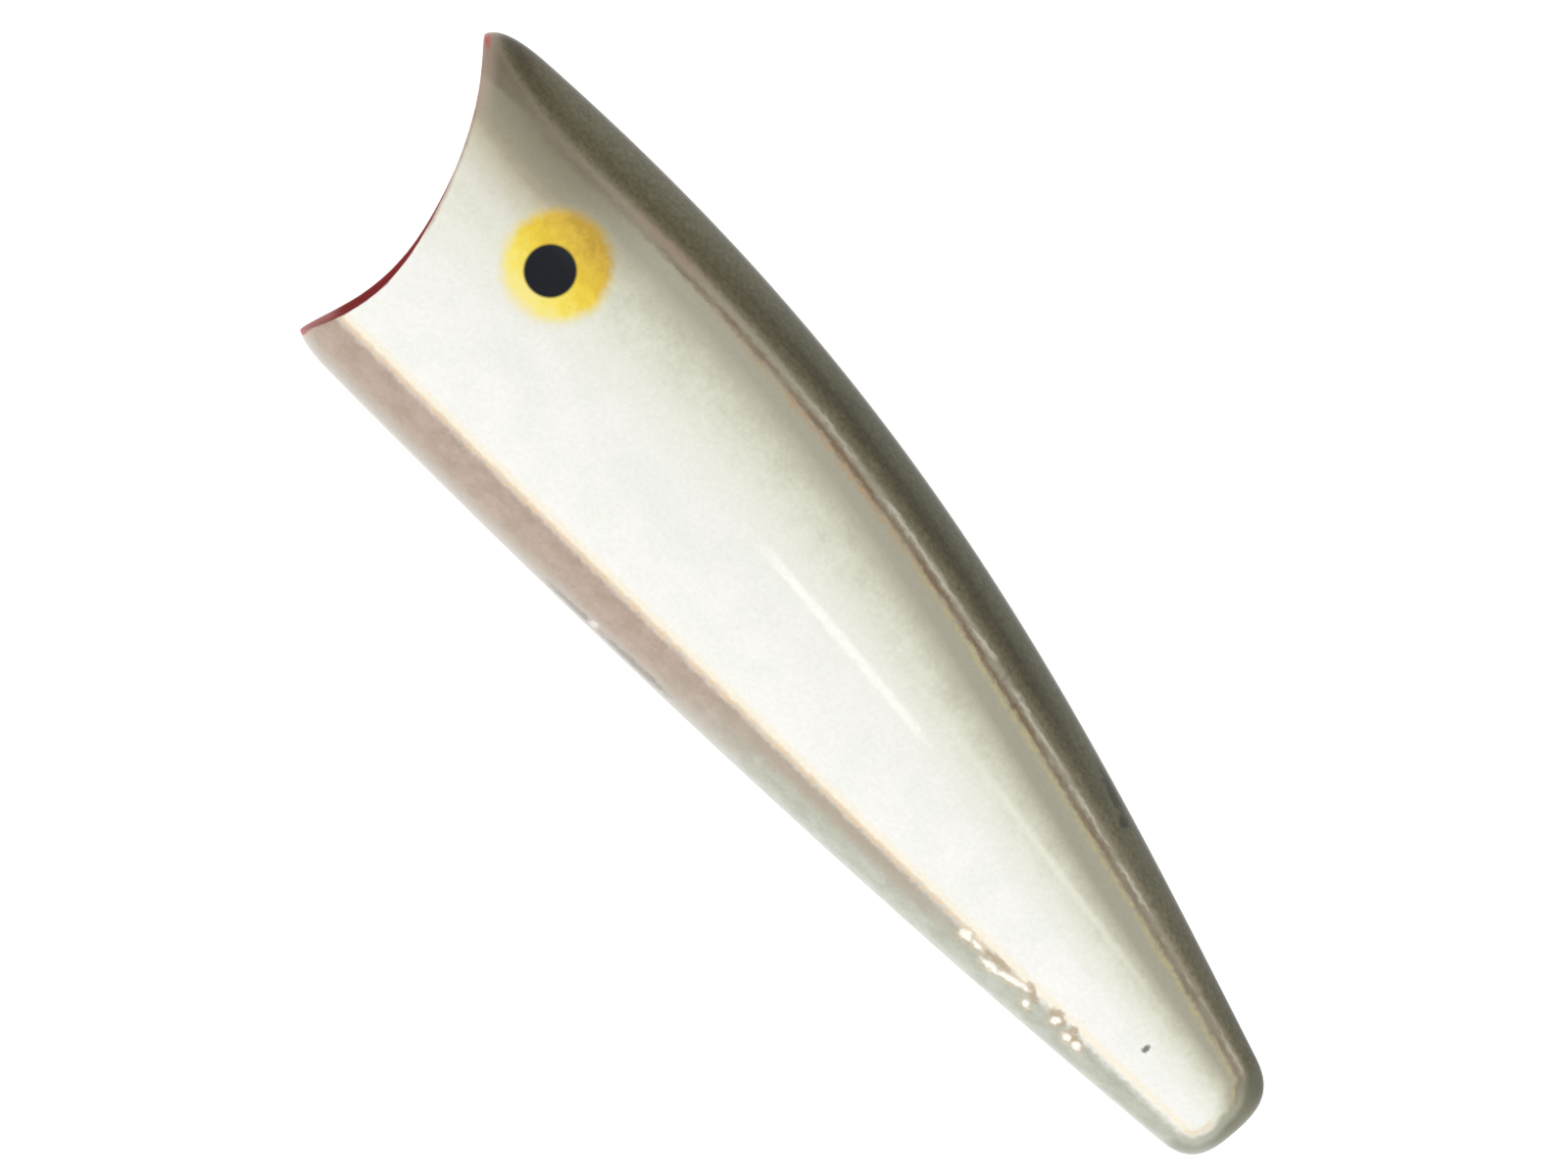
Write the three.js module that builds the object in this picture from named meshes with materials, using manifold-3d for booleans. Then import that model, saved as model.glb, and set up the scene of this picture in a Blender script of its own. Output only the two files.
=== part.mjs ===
import * as THREE from 'three';
import { mergeVertices } from 'three/addons/utils/BufferGeometryUtils.js';
import Module from 'manifold-3d';

// The body of a popper fishing lure, lying on its right flank.
// The mouth is towards -X, the back towards +Y, and the left flank faces up.

// Driving dimensions, in millimetres.
const LENGTH = 82;
// Each list holds evenly spaced control heights of one smooth line, from the mouth to the tail.
const BACK_LINE = [10.95, 13.9, 14.4, 8.4, 3.3];
const BELLY_LINE = [-11.9, -10.5, -7.9, -3.55];
const HALF_THICKNESS = [6.9, 9.0, 9.3, 2.8];
// How far behind the front each part of the mouth's edge lies, from the upper lip to the lower lip.
const MOUTH_EDGE = [-2.2, 5.5, 3.4, 9.4, 7.3, 5.6];
const UPPER_LIP = 10.65;
const LOWER_LIP = -11.5;
const CUP_DEPTH = 2.6;
// How far the rounding of the mouth's edge reaches along the skin, and its share inside the mouth.
const UPPER_LIP_ROUNDING = 5.5;
const LOWER_LIP_ROUNDING = 3.5;
const FLANK_EDGE_ROUNDING = 0.5;
const INNER_ROUNDING_SHARE = 0.16;
// The rounding's curve is pulled towards the skin at this share of its reach.
const ROUNDING_AIM = 0.4;
const TAIL_ROUNDING = 3;
const TAIL_BLUNTNESS = 3.2;
// 2 makes an elliptical section, and more makes the flanks flatter.
const SECTION_FULLNESS = 2.2;
const REST_FLAT_DEPTH = 0.2;

// How finely the skin is divided.
const GIRTH_STEPS = 64;
const BODY_STEPS = 34;
const TAIL_STEPS = 8;
const LIP_STEPS = 6;
const CUP_STEPS = 9;

// The height at t, from 0 to 1, of the smooth line that the control heights pull on.
function blend(controls, t) {
  let heights = controls;
  while (heights.length > 1) {
    heights = heights.slice(1).map((next, i) => THREE.MathUtils.lerp(heights[i], next, t));
  }
  return heights[0];
}

// 1 along the body, falling to 0 at the blunt end of the tail.
function tailTaper(x) {
  const u = THREE.MathUtils.clamp((x - LENGTH + TAIL_ROUNDING) / TAIL_ROUNDING, 0, 1);
  return Math.pow(1 - Math.pow(u, TAIL_BLUNTNESS), 1 / TAIL_BLUNTNESS);
}

// The skin's point at station x, with the angle measured round the girth from the upper flank
// over the back.
function skinPoint(x, angle) {
  const t = x / LENGTH;
  const back = blend(BACK_LINE, t);
  const belly = blend(BELLY_LINE, t);
  const up = Math.abs(Math.cos(angle));
  const across = Math.abs(Math.sin(angle));
  const sum = Math.pow(up, SECTION_FULLNESS) + Math.pow(across, SECTION_FULLNESS);
  const reach = tailTaper(x) * Math.pow(sum, -1 / SECTION_FULLNESS);
  const y = (back + belly) / 2 + (reach * Math.sin(angle) * (back - belly)) / 2;
  const z = reach * Math.cos(angle) * blend(HALF_THICKNESS, t);
  return new THREE.Vector3(x, y, z);
}

// How far back the mouth's edge lies at height y.
function mouthEdge(y) {
  return blend(MOUTH_EDGE, (UPPER_LIP - y) / (UPPER_LIP - LOWER_LIP));
}

// The sharp corner where skin and mouth would meet, found by halving the stretch that holds it.
function cornerPoint(angle) {
  let front = -2;
  let rear = 12;
  for (let i = 0; i < 40; i++) {
    const middle = (front + rear) / 2;
    if (middle < mouthEdge(skinPoint(middle, angle).y)) front = middle;
    else rear = middle;
  }
  return skinPoint(rear, angle);
}

// How far the edge's rounding reaches along the skin at this angle round the girth.
function edgeRounding(angle) {
  const lip = Math.sin(angle) > 0 ? UPPER_LIP_ROUNDING : LOWER_LIP_ROUNDING;
  return THREE.MathUtils.lerp(FLANK_EDGE_ROUNDING, lip, Math.pow(Math.sin(angle), 4));
}

// A point of the cupped mouth, from its middle at share 0 to the corner at share 1.
function cupPoint(corner, share) {
  const middle = (UPPER_LIP + LOWER_LIP) / 2;
  const y = THREE.MathUtils.lerp(middle, corner.y, share);
  const x = mouthEdge(y) + CUP_DEPTH * (1 - share * share);
  return new THREE.Vector3(x, y, corner.z * share);
}

// One line over the skin, from the middle of the mouth round the lip and on to the tail's end.
function girthLine(angle) {
  const corner = cornerPoint(angle);
  const rounding = edgeRounding(angle);
  const cupEnd = 1 - (INNER_ROUNDING_SHARE * rounding) / Math.hypot(corner.y, corner.z);
  const skinStart = corner.x + rounding;
  const turn = skinPoint(corner.x + ROUNDING_AIM * rounding, angle);
  const bodyEnd = LENGTH - TAIL_ROUNDING;
  const line = [];
  for (let i = 1; i <= CUP_STEPS; i++) line.push(cupPoint(corner, (cupEnd * i) / CUP_STEPS));
  const lip = new THREE.QuadraticBezierCurve3(line.at(-1), turn, skinPoint(skinStart, angle));
  for (let i = 1; i < LIP_STEPS; i++) line.push(lip.getPoint(i / LIP_STEPS));
  for (let i = 0; i < BODY_STEPS; i++) {
    line.push(skinPoint(THREE.MathUtils.lerp(skinStart, bodyEnd, i / BODY_STEPS), angle));
  }
  for (let i = 0; i < TAIL_STEPS; i++) {
    const quarter = (Math.PI / 2) * (i / TAIL_STEPS);
    line.push(skinPoint(bodyEnd + TAIL_ROUNDING * Math.sin(quarter), angle));
  }
  return line;
}

// The closed skin: a net of girth lines, drawn together at the mouth's middle and the tail's end.
function bodyGeometry() {
  const lines = [];
  for (let i = 0; i < GIRTH_STEPS; i++) lines.push(girthLine((2 * Math.PI * i) / GIRTH_STEPS));
  const points = lines.flat();
  const rows = lines[0].length;
  const mouthMiddle = points.push(cupPoint(new THREE.Vector3(), 0)) - 1;
  const tailEnd = points.push(skinPoint(LENGTH, 0)) - 1;
  const faces = [];
  for (let i = 0; i < GIRTH_STEPS; i++) {
    const here = i * rows;
    const next = ((i + 1) % GIRTH_STEPS) * rows;
    faces.push(mouthMiddle, here, next);
    faces.push(tailEnd, next + rows - 1, here + rows - 1);
    for (let j = 0; j < rows - 1; j++) {
      faces.push(here + j, next + j + 1, next + j);
      faces.push(here + j, here + j + 1, next + j + 1);
    }
  }
  const geometry = new THREE.BufferGeometry().setFromPoints(points);
  geometry.setIndex(faces);
  return geometry;
}

function toSolid(wasm, geometry) {
  geometry.deleteAttribute('normal');
  geometry.deleteAttribute('uv');
  const merged = mergeVertices(geometry, 1e-4);
  return new wasm.Manifold(new wasm.Mesh({
    numProp: 3,
    vertProperties: Float32Array.from(merged.attributes.position.array),
    triVerts: Uint32Array.from(merged.index.array),
  }));
}

function toGeometry(solid) {
  const mesh = solid.getMesh();
  const geometry = new THREE.BufferGeometry();
  geometry.setAttribute('position', new THREE.BufferAttribute(mesh.vertProperties, 3));
  geometry.setIndex(new THREE.BufferAttribute(mesh.triVerts, 1));
  geometry.computeVertexNormals();
  return geometry;
}

// Everything lower than the small flat that the lying body rests on.
function belowRestFlat(skin) {
  skin.computeBoundingBox();
  const top = skin.boundingBox.min.z + REST_FLAT_DEPTH;
  const block = new THREE.BoxGeometry(2 * LENGTH, LENGTH, LENGTH);
  block.translate(LENGTH / 2, 0, top - LENGTH / 2);
  return block;
}

const wasm = await Module();
wasm.setup();

const skin = bodyGeometry();
const body = toSolid(wasm, skin).subtract(toSolid(wasm, belowRestFlat(skin)));
const paint = new THREE.MeshStandardMaterial({ color: 0xe9eadf, roughness: 0.2, metalness: 0 });
const lureBody = new THREE.Mesh(toGeometry(body), paint);
lureBody.name = 'lure_body';

// The origin is on the ground, under the middle of the body.
lureBody.geometry.computeBoundingBox();
const box = lureBody.geometry.boundingBox;
const middle = box.getCenter(new THREE.Vector3());
lureBody.position.set(-middle.x, -middle.y, -box.min.z);

const group = new THREE.Group();
group.add(lureBody);

export default group;
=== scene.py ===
import math

import bpy
import numpy as np
from mathutils import Matrix, Vector


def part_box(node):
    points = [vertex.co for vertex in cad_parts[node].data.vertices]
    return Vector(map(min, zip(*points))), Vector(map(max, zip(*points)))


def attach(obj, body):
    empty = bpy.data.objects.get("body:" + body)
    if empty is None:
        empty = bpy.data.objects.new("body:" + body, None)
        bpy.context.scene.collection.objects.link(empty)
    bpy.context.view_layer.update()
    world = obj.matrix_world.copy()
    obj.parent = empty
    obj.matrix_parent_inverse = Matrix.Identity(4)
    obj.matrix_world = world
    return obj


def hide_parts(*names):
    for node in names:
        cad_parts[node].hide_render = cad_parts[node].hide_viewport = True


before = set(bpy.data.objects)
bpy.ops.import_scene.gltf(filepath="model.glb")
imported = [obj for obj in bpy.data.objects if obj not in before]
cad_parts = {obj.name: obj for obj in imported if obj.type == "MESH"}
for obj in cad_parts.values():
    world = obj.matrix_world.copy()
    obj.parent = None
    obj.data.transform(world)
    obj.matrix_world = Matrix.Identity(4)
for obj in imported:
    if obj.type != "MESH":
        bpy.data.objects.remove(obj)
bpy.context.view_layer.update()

MM = 0.001

# The body's driving dimensions, in millimetres. X runs from the mouth to the tail, Y to the back,
# and Z out of the upper flank.
LENGTH = 82
# Each list holds evenly spaced control heights of one smooth line, from the mouth to the tail.
BACK_LINE = [10.95, 13.9, 14.4, 8.4, 3.3]
BELLY_LINE = [-11.9, -10.5, -7.9, -3.55]
HALF_THICKNESS = [6.9, 9.0, 9.3, 2.8]
# How far behind the front each part of the mouth's edge lies, from the upper lip to the lower lip.
MOUTH_EDGE = [-2.2, 5.5, 3.4, 9.4, 7.3, 5.6]
UPPER_LIP = 10.65
LOWER_LIP = -11.5
CUP_DEPTH = 2.6
# The stations between which the mouth's edge lies all round the girth.
EDGE_FRONT = -2.5
EDGE_REAR = 12
# How far the rounding of the mouth's edge reaches along the skin, and its share inside the mouth.
UPPER_LIP_ROUNDING = 5.5
LOWER_LIP_ROUNDING = 3.5
FLANK_EDGE_ROUNDING = 0.5
INNER_ROUNDING_SHARE = 0.16
# The rounding's curve is pulled towards the skin at this share of its reach.
ROUNDING_AIM = 0.4
TAIL_ROUNDING = 3
TAIL_BLUNTNESS = 3.2
# 2 makes an elliptical section, and more makes the flanks flatter.
SECTION_FULLNESS = 2.2
REST_FLAT_DEPTH = 0.2

# How finely the skin is divided.
GIRTH_STEPS = 200
BODY_STEPS = 290
TAIL_STEPS = 36
LIP_STEPS = 20
CUP_STEPS = 40
EDGE_HALVINGS = 40

# Painted bands, in millimetres as seen square on to the flank. Each list holds control heights
# of a smooth line from the mouth to the tail, as the body's lines do.
STRIPE_DEPTH = [2.8, 2.9, 2.1, 2.05, 3.5, 1.25, 1.05]
GREY_WIDTH = [1.6, 2.05, 0.7, 3.55, 0.55]
FADE_WIDTH = [5.9, 4.2, 3.0, 1.5]
BELLY_BAND = [3.0, 3.7, 3.5, 2.9, 1.25]
# The band round the tail's end is this wide at height 0, and widens by this share of the height.
TAIL_BAND = 1.45
TAIL_BAND_LEAN = 0.16
PANEL_CORNER = 1.5
# The stripe turns down this far ahead of that band, and fades out under this height.
STRIPE_GAP = 0.1
STRIPE_CORNER = 0.9
STRIPE_END = 1.9
# Towards the upper lip the bands run closer to the back.
LIP_SHIFT = 2.1
LIP_SHIFT_LENGTH = 10
# The middles of the eye's two discs, by station and height.
IRIS = (13.2, 4.2)
IRIS_RADIUS = 3.35
PUPIL = (13.15, 3.6)
PUPIL_RADIUS = 1.65

# Where along the body one look of the paint gives way to another: none of it yet, then all of it.
HEAD = (18.0, 9.0)
LIP = (7.0, 1.5)
BACK_TO_AMIDSHIPS = (14.0, 33.0)
BACK_TO_TAIL = (50.0, 68.0)
# The ridge's painted shadow and painted highlight lie between these.
RIDGE_SHADING_FRONT = (44.0, 56.0)
RIDGE_SHADING_REAR = (76.0, 62.0)
BELLY_TO_REAR = (34.0, 50.0)
BROWN_BELLY = (66.0, 54.0)
TAN_EDGE = (70.0, 56.0)
TAIL_END = (79.2, 80.2)
# The marks lie above this height over the ground, in the same sense.
UPPER_FLANK = (7.5, 8.5)

# Marks on the upper flank: station, height, half length, half height and slope.
CHIPS = [
    (61.3, -4.3, 0.42, 0.3, 0.0),
    (62.3, -4.2, 0.5, 0.2, 0.05),
    (63.9, -4.45, 0.75, 0.24, 0.1),
    (65.3, -4.02, 1.2, 0.22, 0.33),
    (67.05, -4.38, 0.3, 0.22, -0.2),
    (69.05, -3.62, 0.3, 0.28, 0.2),
    (70.4, -3.85, 0.34, 0.24, 0.0),
    (71.1, -3.75, 0.36, 0.24, 0.0),
]
# Painted shade along the chips' upper edges, as brown ovals just above them.
CHIP_SHADE_OVALS = [
    (63.9, -3.85, 1.2, 0.24, 0.18),
    (66.75, -3.55, 0.65, 0.3, -0.35),
    (68.9, -3.4, 0.75, 0.42, 0.0),
    (70.3, -3.2, 0.28, 0.32, 0.0),
    (70.75, -3.6, 0.75, 0.34, 0.0),
]
SPECK = [(74.05, -0.55, 0.2, 0.28, 0.0)]
# Dark spots on the back near the tail.
BACK_DARK_SPOTS = [
    (60.6, 8.25, 1.6, 0.2, -0.26),
    (62.6, 7.6, 0.5, 0.26, -0.26),
]
STRIPE_TICKS = [
    (50.75, 8.2, 0.16, 0.55, 0.0),
    (52.45, 7.7, 0.16, 0.6, 0.0),
]
# Painted shadow: a thin dark line just inside the belly's edge.
BELLY_SHADOW_LINE = [
    (30.2, -9.38, 2.6, 0.2, 0.1),
    (35.3, -8.88, 2.9, 0.24, 0.105),
]
# A pale blot by that line.
BELLY_PALE_BLOT = [(31.7, -9.15, 0.4, 0.24, 0.1)]

# The photograph's frame, and where the middle of the body lies in it.
PHOTO_WIDTH = 1600
PHOTO_HEIGHT = 1200
BODY_MIDDLE_PX = (827, 640)
BODY_LENGTH_PX = 1350.5
BODY_TURN = math.radians(49.0)
CAMERA_DISTANCE = 1.2
CAMERA_LEAN_TO_BACK = math.radians(4)
CAMERA_LEAN_TO_MOUTH = math.radians(3.5)
SENSOR_WIDTH = 36

# The gloss of the paint and of the clear coat over it.
PAINT_ROUGHNESS = 0.38
PAINT_SPECULAR = 0.1
COAT_WEIGHT = 0.6
COAT_WEIGHT_IN_MOUTH = 0.05
COAT_ROUGHNESS = 0.07
# The orange peel's height in millimetres, and how many times as deep the chips are.
PEEL_HEIGHT = 0.005
CHIP_PITS = 3.0

# Light. The sky's brightness is 1 where it isn't dimmed.
SKY_STRENGTH = 1.17
LOW_SKY_BEFORE_BELLY = 1.0
LOW_SKY_BEHIND_BACK = 0.25
OVERHEAD_SKY = 0.3
# Heights in the sky, from 0 at the horizon to 1 straight overhead.
LOW_SKY_TOP = 0.4
OVERHEAD_START = 0.86
OVERHEAD_FULL = 0.97
# The lamp that the streak on the flank reflects, in metres and watts.
STREAK_LAMP = (0.121, 0.0, 0.8)
STREAK_LAMP_SIZE = (0.05, 0.12)
STREAK_LAMP_POWER = 0.1

FLOOR_HALF_SIZE = 20
FLOOR_GREY = 0.75
FLOOR_GLOW = 0.6


# Shape

def blend(controls, t):
    """The height at t, from 0 to 1, of the smooth line that the control heights pull on."""
    heights = [np.full_like(t, c, dtype=float) for c in controls]
    while len(heights) > 1:
        heights = [a + (b - a) * t for a, b in zip(heights, heights[1:])]
    return heights[0]


def along(controls, x):
    return blend(controls, np.clip(x / LENGTH, 0, 1))


def tail_taper(x):
    """1 along the body, falling to 0 at the blunt end of the tail."""
    u = np.clip((x - LENGTH + TAIL_ROUNDING) / TAIL_ROUNDING, 0, 1)
    return (1 - u ** TAIL_BLUNTNESS) ** (1 / TAIL_BLUNTNESS)


def skin_points(x, angle):
    """The skin at stations x, with the angles measured from the upper flank over the back."""
    t = x / LENGTH
    back = blend(BACK_LINE, t)
    belly = blend(BELLY_LINE, t)
    total = np.abs(np.cos(angle)) ** SECTION_FULLNESS + np.abs(np.sin(angle)) ** SECTION_FULLNESS
    reach = tail_taper(x) * total ** (-1 / SECTION_FULLNESS)
    y = (back + belly) / 2 + reach * np.sin(angle) * (back - belly) / 2
    z = reach * np.cos(angle) * blend(HALF_THICKNESS, t)
    return np.stack([x, y, z], axis=-1)


def mouth_edge(y):
    """How far back the mouth's edge lies at height y."""
    return blend(MOUTH_EDGE, (UPPER_LIP - y) / (UPPER_LIP - LOWER_LIP))


def corner_points(angle):
    """The sharp corner where skin and mouth would meet, found by halving the stretch that holds it."""
    front = np.full_like(angle, EDGE_FRONT)
    rear = np.full_like(angle, EDGE_REAR)
    for _ in range(EDGE_HALVINGS):
        middle = (front + rear) / 2
        ahead = middle < mouth_edge(skin_points(middle, angle)[:, 1])
        front = np.where(ahead, middle, front)
        rear = np.where(ahead, rear, middle)
    return skin_points(rear, angle)


def edge_rounding(angle):
    """How far the mouth edge's rounding reaches along the skin."""
    lip = np.where(np.sin(angle) > 0, UPPER_LIP_ROUNDING, LOWER_LIP_ROUNDING)
    return FLANK_EDGE_ROUNDING + (lip - FLANK_EDGE_ROUNDING) * np.sin(angle) ** 4


def cup_points(corners, share):
    """The cupped mouth, from its middle at share 0 to the corners at share 1."""
    middle = (UPPER_LIP + LOWER_LIP) / 2
    y = middle + (corners[:, 1] - middle) * share
    x = mouth_edge(y) + CUP_DEPTH * (1 - share ** 2)
    return np.stack([x, y, corners[:, 2] * share], axis=-1)


def skin_rows():
    """Rings of points from the middle of the mouth, round the lip, to the tail's end."""
    angle = np.linspace(0, 2 * math.pi, GIRTH_STEPS, endpoint=False)
    corners = corner_points(angle)
    rounding = edge_rounding(angle)
    cup_end = 1 - INNER_ROUNDING_SHARE * rounding / np.hypot(corners[:, 1], corners[:, 2])
    skin_start = corners[:, 0] + rounding
    body_end = LENGTH - TAIL_ROUNDING
    rows = [cup_points(corners, cup_end * i / CUP_STEPS) for i in range(1, CUP_STEPS + 1)]
    inner = rows[-1]
    turn = skin_points(corners[:, 0] + ROUNDING_AIM * rounding, angle)
    outer = skin_points(skin_start, angle)
    for i in range(1, LIP_STEPS):
        t = i / LIP_STEPS
        rows.append((1 - t) ** 2 * inner + 2 * t * (1 - t) * turn + t ** 2 * outer)
    for i in range(BODY_STEPS):
        rows.append(skin_points(skin_start + (body_end - skin_start) * i / BODY_STEPS, angle))
    for i in range(TAIL_STEPS):
        x = body_end + TAIL_ROUNDING * math.sin(math.pi / 2 * i / TAIL_STEPS)
        rows.append(skin_points(np.full_like(angle, x), angle))
    return rows


def net_faces(rows):
    """Quads between neighbouring rings, and a fan of triangles at each end."""
    faces = []
    for j in range(rows - 1):
        here = j * GIRTH_STEPS
        for i in range(GIRTH_STEPS):
            side = (i + 1) % GIRTH_STEPS
            faces.append((here + i, here + GIRTH_STEPS + i, here + GIRTH_STEPS + side, here + side))
    mouth_middle = rows * GIRTH_STEPS
    tail_end = mouth_middle + 1
    last = (rows - 1) * GIRTH_STEPS
    for i in range(GIRTH_STEPS):
        side = (i + 1) % GIRTH_STEPS
        faces.append((mouth_middle, i, side))
        faces.append((tail_end, last + side, last + i))
    return faces


def round_corner(side, end, radius):
    """The depth inside two edges that meet in a quarter round."""
    a = np.maximum(radius - side, 0)
    b = np.maximum(radius - end, 0)
    return np.where((a > 0) & (b > 0), radius - np.hypot(a, b), np.minimum(side, end))


def before_tail_band(x, y):
    """How far ahead of the band round the tail's end a point lies."""
    return LENGTH - TAIL_BAND - TAIL_BAND_LEAN * y - x


def under_stripe(x, y):
    """How far under the stripe's line along the back a point lies."""
    return along(BACK_LINE, x) - along(STRIPE_DEPTH, x) - y


def stripe_distance(x, y):
    """How far past the stripe a point lies. The stripe turns down round the tail's upper corner."""
    end = before_tail_band(x, y) - STRIPE_GAP + np.maximum(STRIPE_END - y, 0)
    return round_corner(under_stripe(x, y), end, STRIPE_CORNER)


def panel_depth(x, y):
    """How far inside the flank panel's rounded outline a point lies, seen from the side."""
    over_band = y - along(BELLY_LINE, x) - along(BELLY_BAND, x)
    side = np.minimum(under_stripe(x, y), over_band)
    return round_corner(side, before_tail_band(x, y), PANEL_CORNER)


def lip_distance(rows):
    """How far each point is from the mouth's edge along the skin: below 0 in the mouth."""
    rings = np.stack(rows)
    steps = np.linalg.norm(np.diff(rings, axis=0), axis=2)
    travelled = np.concatenate([np.zeros((1, GIRTH_STEPS)), np.cumsum(steps, axis=0)])
    return (travelled - travelled[CUP_STEPS - 1]).ravel()


def add_fields(mesh, points, rows):
    """Distances that the paint follows, stored on the mesh."""
    x, y = points[:, 0], points[:, 1]
    lip = lip_distance(rows)
    past_stripe = stripe_distance(x, y)
    over_belly = y - along(BELLY_LINE, x)
    lip_shift = LIP_SHIFT * np.maximum(1 - x / LIP_SHIFT_LENGTH, 0) ** 2
    shifted_depth = along(BACK_LINE, x) - y + lip_shift
    fields = {
        "back_share": shifted_depth / along(STRIPE_DEPTH, x),
        "head_depth": shifted_depth - along(STRIPE_DEPTH, x),
        "past_stripe": past_stripe,
        "fade": (past_stripe - along(GREY_WIDTH, x)) / along(FADE_WIDTH, x),
        "over_belly": over_belly,
        "past_belly": over_belly - along(BELLY_BAND, x),
        "panel_depth": panel_depth(x, y),
        "lip_distance": np.concatenate([lip, [lip.min(), lip.max()]]),
    }
    for name, values in fields.items():
        field = mesh.attributes.new(name, "FLOAT", "POINT")
        field.data.foreach_set("value", np.ascontiguousarray(values, dtype=np.float32))


def build_body():
    """Makes the skin in the solid's place. Returns it with the shift from its own frame, in mm."""
    rows = skin_rows()
    mouth_middle = cup_points(np.zeros((1, 3)), 0.0)
    tail_end = skin_points(np.array([float(LENGTH)]), np.array([0.0]))
    points = np.concatenate(rows + [mouth_middle, tail_end])
    rest = points[:, 2].min() + REST_FLAT_DEPTH
    points[:, 2] = np.maximum(points[:, 2], rest)

    # The box, the tail's end and the flat underneath lie where the solid has them.
    low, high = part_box("lure_body")
    middle_y = (points[:, 1].max() + points[:, 1].min()) / 2
    box_middle_y = (low[1] + high[1]) / 2
    shift = np.array([high[0] / MM - LENGTH, box_middle_y / MM - middle_y, low[2] / MM - rest])
    mesh = bpy.data.meshes.new("lure_skin")
    mesh.from_pydata(((points + shift) * MM).tolist(), [], net_faces(len(rows)))
    mesh.update()
    for polygon in mesh.polygons:
        polygon.use_smooth = True
    add_fields(mesh, points, rows)
    body = bpy.data.objects.new("lure_skin", mesh)
    bpy.context.collection.objects.link(body)
    return body, shift


# Shader nodes

class Nodes:
    """A node tree, with short names for the nodes that are used here."""

    def __init__(self, tree):
        self.tree = tree

    def new(self, kind):
        return self.tree.nodes.new("ShaderNode" + kind)

    def plug(self, socket, value):
        """Links another node's output, or sets a number or a colour in steps from 0 to 255."""
        if isinstance(value, bpy.types.NodeSocket):
            self.tree.links.new(value, socket)
        elif isinstance(value, tuple) and len(value) == 3:
            socket.default_value = shade(value)
        else:
            socket.default_value = value

    def split(self, place):
        node = self.new("SeparateXYZ")
        self.plug(node.inputs[0], place)
        return node.outputs["X"], node.outputs["Y"], node.outputs["Z"]

    def math(self, operation, *values):
        node = self.new("Math")
        node.operation = operation
        for socket, value in zip(node.inputs, values):
            self.plug(socket, value)
        return node.outputs[0]

    def add(self, a, b):
        return self.math("ADD", a, b)

    def subtract(self, a, b):
        return self.math("SUBTRACT", a, b)

    def times(self, first, *others):
        for other in others:
            first = self.math("MULTIPLY", first, other)
        return first

    def ease(self, value, low, high, at_low, at_high):
        """One value up to low, another from high on, smooth between."""
        node = self.new("MapRange")
        node.interpolation_type = "SMOOTHSTEP"
        self.plug(node.inputs["Value"], value)
        self.plug(node.inputs["From Min"], low)
        self.plug(node.inputs["From Max"], high)
        self.plug(node.inputs["To Min"], at_low)
        self.plug(node.inputs["To Max"], at_high)
        return node.outputs["Result"]

    def step(self, value, start, end):
        """0 at start, 1 at end, smooth between; end may be under start."""
        if end < start:
            return self.ease(value, end, start, 1.0, 0.0)
        return self.ease(value, start, end, 0.0, 1.0)

    def line(self, value, centre, half_width):
        """1 at the centre, smoothly 0 half a width away on either side."""
        return self.step(self.math("ABSOLUTE", self.subtract(value, centre)), half_width, 0.0)

    def mix(self, factor, below, above, mode="MIX"):
        node = self.new("Mix")
        node.data_type = "RGBA"
        node.blend_type = mode
        self.plug(node.inputs["Factor"], factor)
        self.plug([s for s in node.inputs if s.name == "A" and s.type == "RGBA"][0], below)
        self.plug([s for s in node.inputs if s.name == "B" and s.type == "RGBA"][0], above)
        return [s for s in node.outputs if s.type == "RGBA"][0]

    def ramp(self, value, stops):
        """A run of colours, each at its own value."""
        first, last = stops[0][0], stops[-1][0]
        scaled = self.new("MapRange")
        self.plug(scaled.inputs["Value"], value)
        scaled.inputs["From Min"].default_value = first
        scaled.inputs["From Max"].default_value = last
        node = self.new("ValToRGB")
        while len(node.color_ramp.elements) < len(stops):
            node.color_ramp.elements.new(0.5)
        for element, (at, colour) in zip(node.color_ramp.elements, stops):
            element.position = (at - first) / (last - first)
            element.color = shade(colour)
        self.plug(node.inputs["Fac"], scaled.outputs["Result"])
        return node.outputs["Color"]


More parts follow.
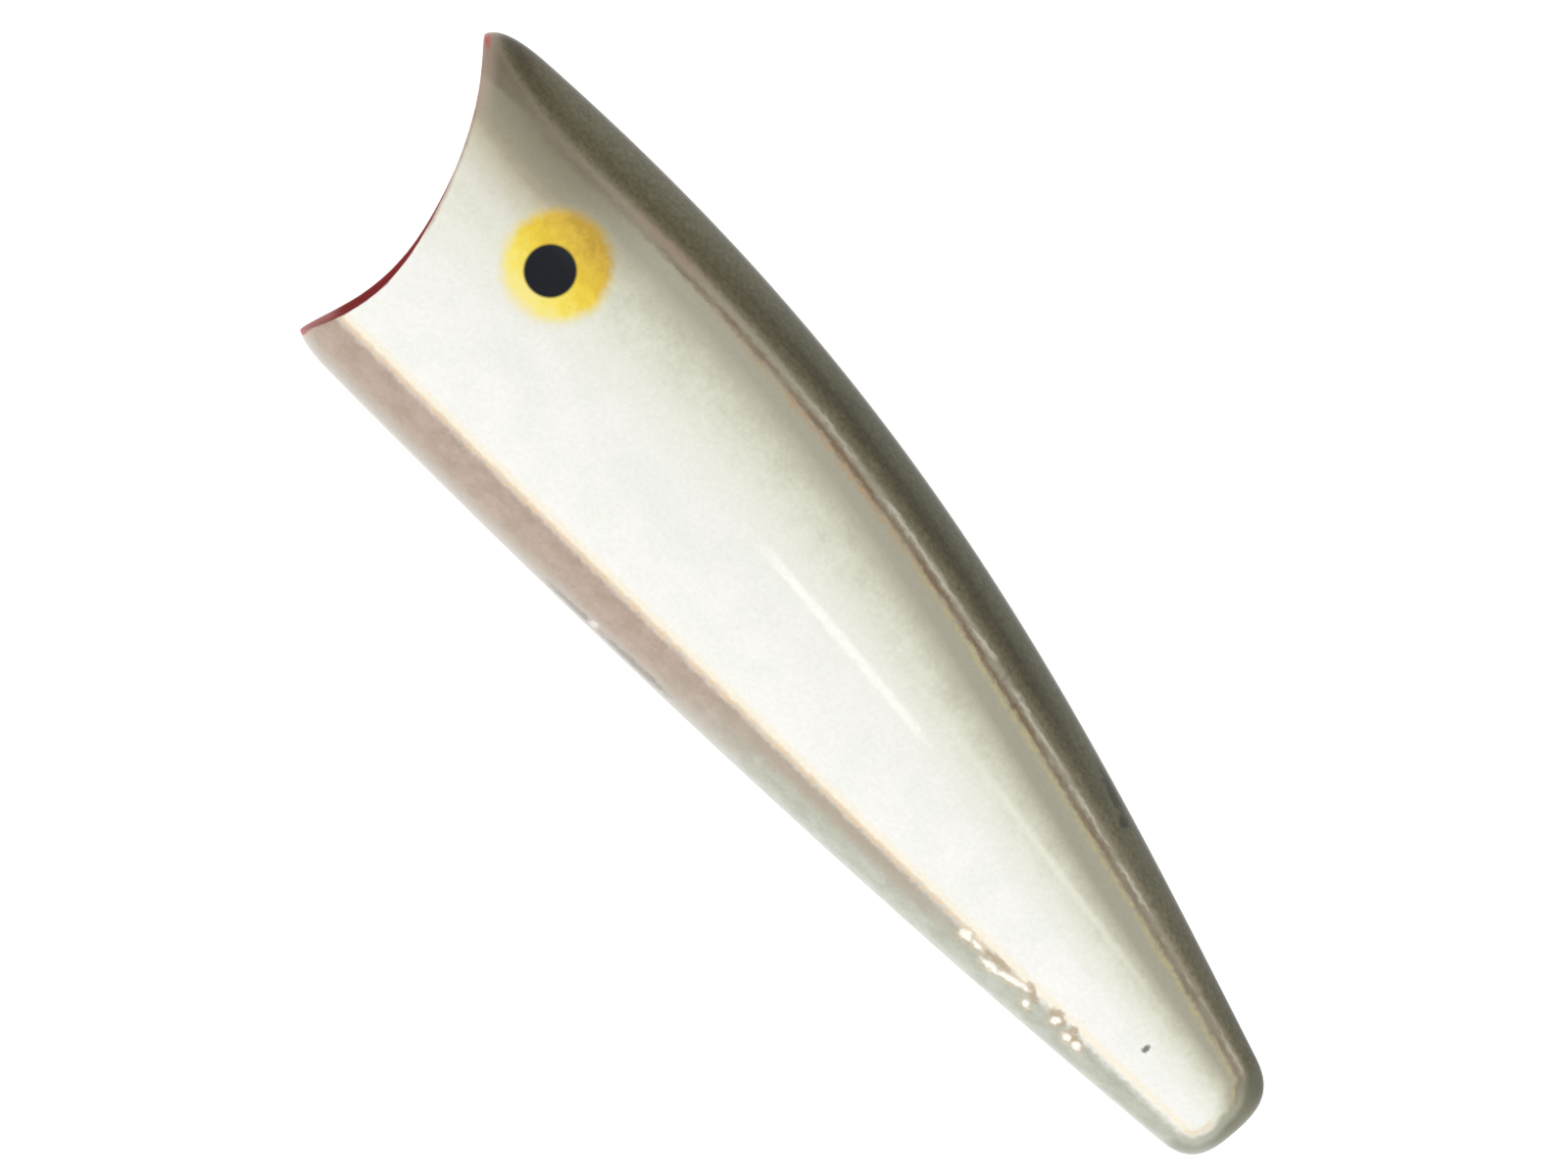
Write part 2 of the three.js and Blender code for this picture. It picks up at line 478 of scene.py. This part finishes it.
class Paint(Nodes):
    """A material whose nodes know where they are on the body, in millimetres."""

    def __init__(self, name, shift):
        self.material = bpy.data.materials.new(name)
        self.material.use_nodes = True
        super().__init__(self.material.node_tree)
        self.shader = self.tree.nodes["Principled BSDF"]
        self.place = self.new("TexCoord").outputs["Object"]
        x, y, z = self.split(self.place)
        self.station = self.math("MULTIPLY_ADD", x, 1 / MM, -shift[0])
        self.height = self.math("MULTIPLY_ADD", y, 1 / MM, -shift[1])
        self.upper = self.step(z, UPPER_FLANK[0] * MM, UPPER_FLANK[1] * MM)

    def field(self, name):
        node = self.new("Attribute")
        node.attribute_name = name
        return node.outputs["Fac"]

    def noise(self, grain, detail=2.0, roughness=0.5, stretch=1.0):
        """Even noise around 0, from about -0.5 to 0.5, with grains of that many millimetres."""
        mapping = self.new("Mapping")
        mapping.inputs["Scale"].default_value = (1 / stretch, 1, 1)
        self.plug(mapping.inputs["Vector"], self.place)
        node = self.new("TexNoise")
        node.inputs["Scale"].default_value = 1 / (grain * MM)
        node.inputs["Detail"].default_value = detail
        node.inputs["Roughness"].default_value = roughness
        self.plug(node.inputs["Vector"], mapping.outputs["Vector"])
        return self.subtract(node.outputs["Fac"], 0.5)

    def oval_reach(self, station, height, half_length, half_height, slope=0.0):
        """0 at the middle of a sloping oval, 1 on its outline."""
        dx = self.subtract(self.station, station)
        dy = self.subtract(self.subtract(self.height, height), self.times(dx, slope))
        along_it = self.math("DIVIDE", dx, half_length)
        across_it = self.math("DIVIDE", dy, half_height)
        squares = self.add(self.times(along_it, along_it), self.times(across_it, across_it))
        return self.math("SQRT", squares)

    def distance(self, centre):
        """Distance from a point, in millimetres as seen from the side."""
        return self.oval_reach(centre[0], centre[1], 1.0, 1.0)

    def marks(self, ovals, growth=0.0):
        """1 inside any of the small ovals, on the upper flank alone, with ragged edges."""
        ragged = self.times(self.noise(0.4, detail=3.0), 1.8)
        inside = 0.0
        for station, height, half_length, half_height, slope in ovals:
            reach = self.oval_reach(station, height, half_length + growth, half_height + growth, slope)
            mark = self.step(self.add(reach, ragged), 1.4, 0.5)
            inside = self.math("MAXIMUM", mark, inside)
        return self.times(inside, self.upper)


# Paint

# Colours as they are seen, in steps from 0 to 255.
# The back's run from the spine, at share 0, to the stripe, at 1. Its lighter colour by the spine is
# partly a painted reflection.
BACK_BY_THE_HEAD = [
    (0.1, (107, 103, 86)), (0.3, (101, 98, 79)), (0.5, (95, 89, 69)), (0.65, (89, 82, 61)),
    (0.78, (95, 88, 67)), (0.88, (113, 105, 84)), (0.96, (124, 116, 95)), (1.08, (114, 106, 87)),
]
BACK_AMIDSHIPS = [
    (0.1, (95, 93, 76)), (0.3, (87, 85, 69)), (0.45, (73, 69, 54)), (0.57, (78, 72, 55)),
    (0.68, (91, 85, 66)), (0.8, (105, 100, 81)), (0.92, (121, 115, 96)), (1.0, (132, 126, 107)),
]
BACK_BY_THE_TAIL = [
    (0.1, (96, 93, 76)), (0.35, (97, 94, 76)), (0.55, (102, 98, 79)), (0.7, (113, 107, 88)),
    (0.85, (132, 125, 104)), (1.0, (152, 144, 122)),
]
# Fine light and dark specks, laid over the back.
BACK_SPECKS = [(-0.2, (164, 164, 158)), (0.0, (188, 188, 188)), (0.2, (210, 209, 205))]
LIP_SHADOW = (66, 59, 43)
# The head's run down from the stripe, in millimetres, darker partly as painted shade.
HEAD_GREYS = [
    (0.0, (115, 107, 88)), (0.5, (121, 113, 93)), (1.0, (134, 127, 106)), (1.9, (145, 141, 120)),
    (2.5, (155, 148, 126)), (3.1, (172, 165, 141)), (3.6, (194, 187, 163)), (4.3, (208, 204, 184)),
    (5.2, (224, 221, 208)), (6.4, (241, 239, 229)),
]
# The flank's grey, partly a painted reflection, ends at 0 and is almost gone at 1.
FLANK_GREYS = [
    (-0.5, (160, 158, 141)), (0.0, (168, 164, 146)), (0.2, (189, 186, 166)), (0.42, (208, 207, 188)),
    (0.7, (224, 225, 209)), (0.95, (233, 234, 221)), (1.25, (242, 241, 232)),
]
# The stripe along the back is partly a painted reflection: its light line and white dashes are painted
# highlight.
LINE_HIGHLIGHT = (150, 142, 123)
LINE_WHITE_HIGHLIGHT = (186, 181, 166)
LINE_PINK = (148, 121, 102)
LINE_BROWN = (120, 101, 77)
FRINGE_ORANGE = (180, 146, 100)
FRINGE_YELLOW = (190, 176, 124)
# The painted shadow beside the low ridge behind the middle, and the ridge's painted highlight.
GREY_SHADOW = (158, 154, 136)
RIDGE_HIGHLIGHT = (241, 238, 224)
PEARL_SHADE = (243, 244, 239)
PEARL = (247, 246, 242)
PEARL_LIGHT = (250, 249, 246)
# The belly's band is partly a painted reflection. The first colour, along its lowest line, is a painted
# reflection.
BELLY_PALE_REFLECTION = (186, 177, 164)
BELLY_TAUPE = (174, 154, 139)
BELLY_ROSE = (187, 166, 153)
BELLY_GREY = (190, 193, 179)
BELLY_SHADE = (176, 177, 162)
BELLY_BROWN = (177, 165, 149)
BELLY_TAN = (226, 192, 146)
CREAM = (251, 238, 208)
CHIP_WHITE = (252, 248, 238)
CHIP_SHADE_BROWN = (176, 156, 128)
CHIP_RIM = (214, 194, 162)
# Round the tail's end, by height: beside the flank's panel, and out to the edge. These two tones are
# partly a painted reflection.
TAIL_INSIDE = [
    (-2.2, (186, 185, 169)), (-1.2, (176, 174, 159)), (0.8, (162, 161, 142)), (1.8, (148, 147, 127)),
    (2.7, (116, 114, 98)),
]
TAIL_OUTSIDE = [
    (-2.3, (152, 157, 142)), (-1.2, (136, 138, 122)), (0.2, (128, 125, 105)), (1.1, (129, 127, 107)),
    (1.9, (121, 119, 100)), (2.9, (104, 102, 87)),
]
TAIL_TAN = (226, 206, 172)
IRIS_COLOURS = [
    (1.6, (248, 233, 138)), (2.4, (249, 229, 108)), (4.2, (237, 207, 66)), (6.1, (214, 176, 54)),
    (6.9, (190, 154, 42)),
]
IRIS_HAZE = (232, 222, 165)
PUPIL_BLACK = (18, 22, 29)
# Painted shade: the cup's red darkens deeper in.
MOUTH_DEEP_SHADE = (104, 14, 13)
MOUTH_RED = (128, 20, 19)
LIP_RED = (184, 74, 70)
LIP_PINK = (182, 122, 114)
RIM_BROWN = (170, 142, 124)
RIM_PINK = (188, 162, 148)
DARK_MARK = (46, 43, 34)
BELLY_SHADOW_GREY = (122, 116, 105)
BELLY_BLOT_WHITE = (226, 219, 209)
# A fine grain that all but the marks, the eye and the mouth are multiplied by.
GRAIN = [(-0.25, (244, 244, 240)), (0.25, (255, 255, 255))]


def shade(colour):
    """The linear colour that the shader wants."""
    def linear(step):
        c = step / 255
        return c / 12.92 if c <= 0.04045 else ((c + 0.055) / 1.055) ** 2.4
    return tuple(linear(step) for step in colour) + (1.0,)


def paint_flank(paint):
    """The pearl flank, with faint clouds in it."""
    clouds = paint.noise(3.0, detail=4.0)
    return paint.ramp(clouds, [(-0.2, PEARL_SHADE), (0.0, PEARL), (0.2, PEARL_LIGHT)])


def paint_fade(paint, skin, ragged):
    """The grey below the stripe, which fades into the flank, is partly a painted reflection. On the head
    it is darker and wider, partly as painted shade.
    """
    plain = paint.field("fade")
    mottled = paint.add(paint.noise(1.6, detail=4.0), paint.noise(0.45, detail=3.0, roughness=0.6))
    fade = paint.add(plain, paint.times(mottled, paint.line(plain, 0.7, 0.8), 0.5))
    greys = paint.ramp(fade, FLANK_GREYS)
    skin = paint.mix(paint.step(fade, 1.8, 1.25), skin, greys)
    # Behind the middle the grey darkens in a painted shadow before it ends in a pale painted highlight of
    # a low ridge of paint, which is not raised.
    rear = paint.times(paint.step(paint.station, *RIDGE_SHADING_FRONT), paint.step(paint.station, *RIDGE_SHADING_REAR))
    skin = paint.mix(paint.times(paint.line(plain, -0.1, 0.25), rear, 0.4), skin, GREY_SHADOW)
    ridge_highlight_at = paint.math("MULTIPLY_ADD", paint.station, -0.02, 1.86)
    skin = paint.mix(paint.times(paint.line(plain, ridge_highlight_at, 0.17), rear, 0.7), skin, RIDGE_HIGHLIGHT)
    depth = paint.add(paint.field("head_depth"), paint.times(ragged, 0.5))
    head = paint.mix(paint.step(depth, 5.4, 7.0), paint.ramp(depth, HEAD_GREYS), skin)
    return paint.mix(paint.step(paint.station, *HEAD), skin, head)


def paint_back(paint, skin, edge):
    """The olive back, darkest halfway down to the stripe amidships, lighter by the spine partly as a
    painted reflection, and lighter at the tail.
    """
    streaks = paint.noise(0.5, detail=4.0, roughness=0.65, stretch=4.0)
    share = paint.add(paint.field("back_share"), paint.times(streaks, 0.22))
    back = paint.ramp(share, BACK_BY_THE_HEAD)
    lip = paint.times(paint.line(share, 0.7, 0.35), paint.step(paint.station, *LIP), 0.7)
    back = paint.mix(lip, back, LIP_SHADOW)
    amidships = paint.step(paint.station, *BACK_TO_AMIDSHIPS)
    back = paint.mix(amidships, back, paint.ramp(share, BACK_AMIDSHIPS))
    tail = paint.step(paint.station, *BACK_TO_TAIL)
    back = paint.mix(tail, back, paint.ramp(share, BACK_BY_THE_TAIL))
    specks = paint.ramp(paint.noise(0.35, detail=3.0, roughness=0.7), BACK_SPECKS)
    back = paint.mix(paint.step(share, 1.05, 0.75), back, specks, "OVERLAY")
    return paint.mix(paint.step(edge, 0.2, -0.2), skin, back)


def paint_stripe(paint, skin, edge):
    """A light line with white dashes, a brown line under it and that one's ragged, warm fringe. The
    stripe is partly a painted reflection in the clear coat, and its light line and dashes are painted
    highlight.
    """
    uneven = paint.noise(0.9, detail=3.0, stretch=4.0)
    fine = paint.noise(0.35, detail=3.0, roughness=0.65, stretch=1.5)
    edge = paint.add(edge, paint.times(fine, 0.5))
    # Painted highlight: the stripe's light line here, and its white dashes below.
    light = paint.times(paint.line(edge, 0.0, 0.34), paint.ease(paint.station, 2.0, 20.0, 0.0, 0.85))
    skin = paint.mix(light, skin, LINE_HIGHLIGHT)
    pink = paint.times(paint.line(edge, 0.0, 0.5), paint.line(paint.station, 17.0, 6.0), 0.6)
    skin = paint.mix(pink, skin, LINE_PINK)
    dashes = paint.times(paint.step(uneven, -0.08, 0.12), paint.ease(paint.station, 24.0, 38.0, 0.0, 1.0))
    skin = paint.mix(paint.times(paint.line(edge, 0.0, 0.2), dashes), skin, LINE_WHITE_HIGHLIGHT)
    brown_at = paint.ease(paint.station, 52.0, 80.0, 0.45, 0.28)
    drawn = paint.add(0.9, paint.times(uneven, 1.5))
    drawn = paint.times(drawn, paint.step(paint.station, 6.0, 22.0))
    drawn = paint.times(drawn, paint.ease(paint.station, 56.0, 72.0, 1.0, 0.7))
    skin = paint.mix(paint.times(paint.line(edge, brown_at, 0.42), drawn), skin, LINE_BROWN)
    fringe = paint.mix(paint.step(paint.station, 38.0, 48.0), FRINGE_ORANGE, FRINGE_YELLOW)
    dotted = paint.ease(paint.noise(0.4, detail=3.0), -0.15, 0.1, 0.15, 0.65)
    beside = paint.line(edge, paint.add(brown_at, 0.38), 0.36)
    beside = paint.times(beside, paint.step(paint.station, 17.0, 30.0), dotted)
    return paint.mix(beside, skin, fringe)


def paint_belly(paint, skin, ragged):
    """The rosy belly, greyer and two-toned towards the tail, and the cream edge above it. The band is
    partly a painted reflection, and it is paler along the belly's lowest line as a painted reflection.
    """
    over_belly = paint.field("over_belly")
    fine = paint.noise(0.4, detail=3.0)
    bumps = paint.add(paint.times(ragged, 0.2), paint.times(fine, 0.5))
    edge = paint.add(paint.field("past_belly"), bumps)
    blotches = paint.noise(1.2, detail=4.0)
    rosy = paint.ramp(blotches, [(-0.15, BELLY_TAUPE), (0.15, BELLY_ROSE)])
    # Painted reflection: paler along the belly's lowest line.
    front = paint.mix(paint.step(over_belly, 1.6, 0.2), rosy, BELLY_PALE_REFLECTION)
    grey = paint.ramp(blotches, [(-0.15, BELLY_SHADE), (0.15, BELLY_GREY)])
    upper_half = paint.times(paint.step(edge, -1.7, -0.7), paint.step(paint.station, *BROWN_BELLY))
    rear = paint.mix(upper_half, grey, BELLY_BROWN)
    belly = paint.mix(paint.step(paint.station, *BELLY_TO_REAR), front, rear)
    skin = paint.mix(paint.step(edge, 0.35, -0.45), skin, belly)
    skin = paint.mix(paint.times(paint.line(edge, 0.4, 0.5), 0.6), skin, CREAM)
    dotted = paint.ease(fine, -0.15, 0.1, 0.3, 0.8)
    tan = paint.times(paint.line(edge, 0.05, 0.3), paint.step(paint.station, *TAN_EDGE), dotted)
    return paint.mix(tan, skin, BELLY_TAN)


def paint_tail_end(paint, skin, ragged):
    """Back and belly colours meet in two tones round the end of the tail, partly as a painted reflection.
    """
    panel = paint.add(paint.field("panel_depth"), paint.times(ragged, 0.4))
    inside = paint.ramp(paint.height, TAIL_INSIDE)
    outside = paint.ramp(paint.height, TAIL_OUTSIDE)
    band = paint.mix(paint.step(panel, -0.3, -0.75), inside, outside)
    at_end = paint.step(paint.station, *TAIL_END)
    skin = paint.mix(paint.times(paint.step(panel, 0.25, -0.2), at_end), skin, band)
    tan = paint.times(paint.line(panel, 0.3, 0.35), at_end, paint.step(paint.height, 0.2, -1.0))
    return paint.mix(paint.times(tan, 0.6), skin, TAIL_TAN)


def paint_marks(paint, skin):
    """Chips along the belly's edge with painted shade along their upper sides, a speck by the tail, a
    painted shadow line and a pale blot on the belly, ticks across the stripe and dark spots on the back,
    all on the upper flank."""
    # Each layer's ovals, how far they are grown, its strength and its colour.
    layers = [
        (CHIPS, 0.2, 0.6, CHIP_RIM),
        (CHIP_SHADE_OVALS, 0.0, 0.8, CHIP_SHADE_BROWN),
        (CHIPS, 0.0, 0.95, CHIP_WHITE),
        (SPECK, 0.25, 0.3, PEARL_LIGHT),
        (SPECK, 0.0, 0.8, DARK_MARK),
        (BELLY_SHADOW_LINE, 0.0, 0.8, BELLY_SHADOW_GREY),
        (BELLY_PALE_BLOT, 0.0, 0.8, BELLY_BLOT_WHITE),
        (STRIPE_TICKS, 0.0, 0.25, DARK_MARK),
        (BACK_DARK_SPOTS, 0.0, 0.75, DARK_MARK),
    ]
    for ovals, growth, strength, colour in layers:
        skin = paint.mix(paint.times(paint.marks(ovals, growth), strength), skin, colour)
    return skin


def paint_eye(paint, skin, ragged):
    """A sprayed yellow iris, paler below, and a crisp black pupil."""
    fine = paint.times(paint.noise(0.4, detail=3.0), 0.4)
    reach = paint.add(paint.distance(IRIS), paint.add(paint.times(ragged, 0.4), fine))
    haze = paint.times(paint.step(reach, IRIS_RADIUS + 0.9, IRIS_RADIUS), 0.35)
    haze = paint.times(haze, paint.ease(paint.height, 4.0, 6.5, 1.0, 0.15))
    skin = paint.mix(haze, skin, IRIS_HAZE)
    blotch = paint.add(paint.height, paint.times(paint.noise(0.7, detail=4.0, roughness=0.7), 3.5))
    iris = paint.ramp(blotch, IRIS_COLOURS)
    skin = paint.mix(paint.step(reach, IRIS_RADIUS + 0.5, IRIS_RADIUS - 0.45), skin, iris)
    pupil = paint.step(paint.distance(PUPIL), PUPIL_RADIUS + 0.12, PUPIL_RADIUS - 0.12)
    return paint.mix(pupil, skin, PUPIL_BLACK)


def past_lip(paint, ragged):
    """How far past the mouth's edge a point lies, raggedly: below 0 in the mouth."""
    return paint.add(paint.field("lip_distance"), paint.times(ragged, 0.2))


def in_mouth(paint, ragged):
    """1 in the red cup. Its paint runs out over the lower lip and stops at the edge elsewhere."""
    over_lip = paint.ease(paint.height, -11.2, -9.8, 0.3, 0.0)
    return paint.step(paint.subtract(past_lip(paint, ragged), over_lip), 0.1, -0.1)


def paint_mouth(paint, skin, mouth, ragged):
    """The red cup, darker deeper in as painted shade, pink where it is thin over the lower lip, and a
    pink band and a brown line along the edge higher up.
    """
    lip = past_lip(paint, ragged)
    # A pink band along the edge by the upper lip, and a brown line along the edge higher up.
    pink_rim_band = paint.times(paint.step(lip, 1.4, 0.2), paint.step(paint.height, 6.0, 7.5), 0.45)
    skin = paint.mix(pink_rim_band, skin, RIM_PINK)
    brown_rim_line = paint.times(paint.step(lip, 0.3, 0.1), paint.step(paint.height, -1.5, 0.5), 0.6)
    skin = paint.mix(brown_rim_line, skin, RIM_BROWN)
    tip = paint.times(paint.step(lip, 0.6, 0.25), paint.step(paint.height, 9.3, 9.7), 0.8)
    skin = paint.mix(tip, skin, LIP_RED)
    # The red darkens deeper in the cup as painted shade.
    red = paint.ramp(lip, [(-3.0, MOUTH_DEEP_SHADE), (-0.5, MOUTH_RED), (0.1, MOUTH_RED), (0.4, LIP_RED)])
    thin = paint.times(paint.step(paint.height, -8.4, -9.6), paint.step(lip, -1.5, -0.2), 0.7)
    red = paint.mix(thin, red, LIP_PINK)
    foot = paint.times(paint.step(paint.height, -10.6, -11.1), 0.8)
    return paint.mix(mouth, skin, paint.mix(foot, red, LIP_RED))


def paint_relief(paint):
    """Faint orange peel in the clear coat, and the chips as shallow pits."""
    peel = paint.noise(0.9, detail=1.0)
    pits = paint.times(paint.marks(CHIPS), -CHIP_PITS)
    bump = paint.new("Bump")
    bump.inputs["Distance"].default_value = PEEL_HEIGHT * MM
    paint.plug(bump.inputs["Height"], paint.add(peel, pits))
    return bump.outputs["Normal"]


def lure_paint(shift):
    """The whole body's paint and clear coat."""
    paint = Paint("lure_paint", shift)
    ragged = paint.noise(0.9, detail=2.0)
    edge = paint.add(paint.field("past_stripe"), paint.times(ragged, 0.25))
    mouth = in_mouth(paint, ragged)
    skin = paint_flank(paint)
    skin = paint_fade(paint, skin, ragged)
    skin = paint_back(paint, skin, edge)
    skin = paint_stripe(paint, skin, edge)
    skin = paint_belly(paint, skin, ragged)
    skin = paint_tail_end(paint, skin, ragged)
    grain = paint.ramp(paint.noise(0.3, detail=3.0, roughness=0.7), GRAIN)
    skin = paint.mix(1.0, skin, grain, "MULTIPLY")
    skin = paint_marks(paint, skin)
    skin = paint_eye(paint, skin, ragged)
    skin = paint_mouth(paint, skin, mouth, ragged)
    relief = paint_relief(paint)
    shader = paint.shader
    paint.plug(shader.inputs["Base Color"], skin)
    paint.plug(shader.inputs["Roughness"], paint.add(PAINT_ROUGHNESS, paint.times(ragged, 0.1)))
    coat = paint.ease(mouth, 0.0, 1.0, COAT_WEIGHT, COAT_WEIGHT_IN_MOUTH)
    paint.plug(shader.inputs["Coat Weight"], coat)
    paint.plug(shader.inputs["Normal"], relief)
    paint.plug(shader.inputs["Coat Normal"], relief)
    shader.inputs["Specular IOR Level"].default_value = PAINT_SPECULAR
    shader.inputs["Coat Roughness"].default_value = COAT_ROUGHNESS
    return paint.material


# Stage

def build_floor():
    """A large, faintly glowing sheet of matt paper, left out of the body's reflections."""
    size = FLOOR_HALF_SIZE
    mesh = bpy.data.meshes.new("floor")
    corners = [(-size, -size, 0), (size, -size, 0), (size, size, 0), (-size, size, 0)]
    mesh.from_pydata(corners, [], [(0, 1, 2, 3)])
    floor = bpy.data.objects.new("floor", mesh)
    bpy.context.collection.objects.link(floor)
    material = bpy.data.materials.new("floor_paper")
    material.use_nodes = True
    shader = material.node_tree.nodes["Principled BSDF"]
    shader.inputs["Base Color"].default_value = (FLOOR_GREY, FLOOR_GREY, FLOOR_GREY, 1)
    shader.inputs["Roughness"].default_value = 0.9
    shader.inputs["Specular IOR Level"].default_value = 0.0
    shader.inputs["Emission Color"].default_value = (1, 1, 1, 1)
    shader.inputs["Emission Strength"].default_value = FLOOR_GLOW
    mesh.materials.append(material)
    floor.visible_glossy = False


def light_scene():
    """Even light from above. Reflections are dim behind the back and straight overhead."""
    world = bpy.data.worlds.new("studio")
    world.use_nodes = True
    sky = Nodes(world.node_tree)
    _, to_back, height = sky.split(sky.new("TexCoord").outputs["Generated"])
    low = sky.ease(to_back, -0.5, 0.5, LOW_SKY_BEFORE_BELLY, LOW_SKY_BEHIND_BACK)
    bright = sky.ease(height, 0.0, LOW_SKY_TOP, low, 1.0)
    bright = sky.ease(height, OVERHEAD_START, OVERHEAD_FULL, bright, OVERHEAD_SKY)
    background = sky.tree.nodes["Background"]
    background.inputs["Color"].default_value = (1, 1, 1, 1)
    sky.plug(background.inputs["Strength"], sky.times(bright, SKY_STRENGTH))
    bpy.context.scene.world = world


def add_lamp(name, place, size, power):
    """A rectangular lamp, aimed at the origin."""
    data = bpy.data.lights.new(name, "AREA")
    data.shape = "RECTANGLE"
    data.size, data.size_y = size
    data.energy = power
    lamp = bpy.data.objects.new(name, data)
    lamp.location = place
    lamp.rotation_euler = (-Vector(place)).to_track_quat("-Z", "Y").to_euler()
    bpy.context.collection.objects.link(lamp)


def place_camera():
    """Looks down on the lying body, turned so that it points down to the right."""
    low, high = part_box("lure_body")
    centre = (Vector(low) + Vector(high)) / 2
    metres_per_px = (high[0] - low[0]) / BODY_LENGTH_PX
    right = Vector((math.cos(BODY_TURN), math.sin(BODY_TURN), 0))
    up = Vector((-math.sin(BODY_TURN), math.cos(BODY_TURN), 0))
    aim = centre
    aim = aim + right * (PHOTO_WIDTH / 2 - BODY_MIDDLE_PX[0]) * metres_per_px
    aim = aim + up * (BODY_MIDDLE_PX[1] - PHOTO_HEIGHT / 2) * metres_per_px
    toward = Vector((-math.tan(CAMERA_LEAN_TO_MOUTH), math.tan(CAMERA_LEAN_TO_BACK), 1)).normalized()
    right = (right - toward * right.dot(toward)).normalized()
    up = toward.cross(right)
    data = bpy.data.cameras.new("camera")
    data.sensor_width = SENSOR_WIDTH
    data.lens = SENSOR_WIDTH * CAMERA_DISTANCE / (PHOTO_WIDTH * metres_per_px)
    data.clip_start = 0.01
    camera = bpy.data.objects.new("camera", data)
    turn = Matrix((right, up, toward)).transposed().to_4x4()
    camera.matrix_world = Matrix.Translation(aim + toward * CAMERA_DISTANCE) @ turn
    bpy.context.collection.objects.link(camera)
    bpy.context.scene.camera = camera


place_camera()
light_scene()
add_lamp("streak_lamp", STREAK_LAMP, STREAK_LAMP_SIZE, STREAK_LAMP_POWER)
build_floor()

body, shift = build_body()
body.data.materials.append(lure_paint(shift))
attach(body, "root")
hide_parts("lure_body")

bpy.context.scene.view_settings.view_transform = "Standard"
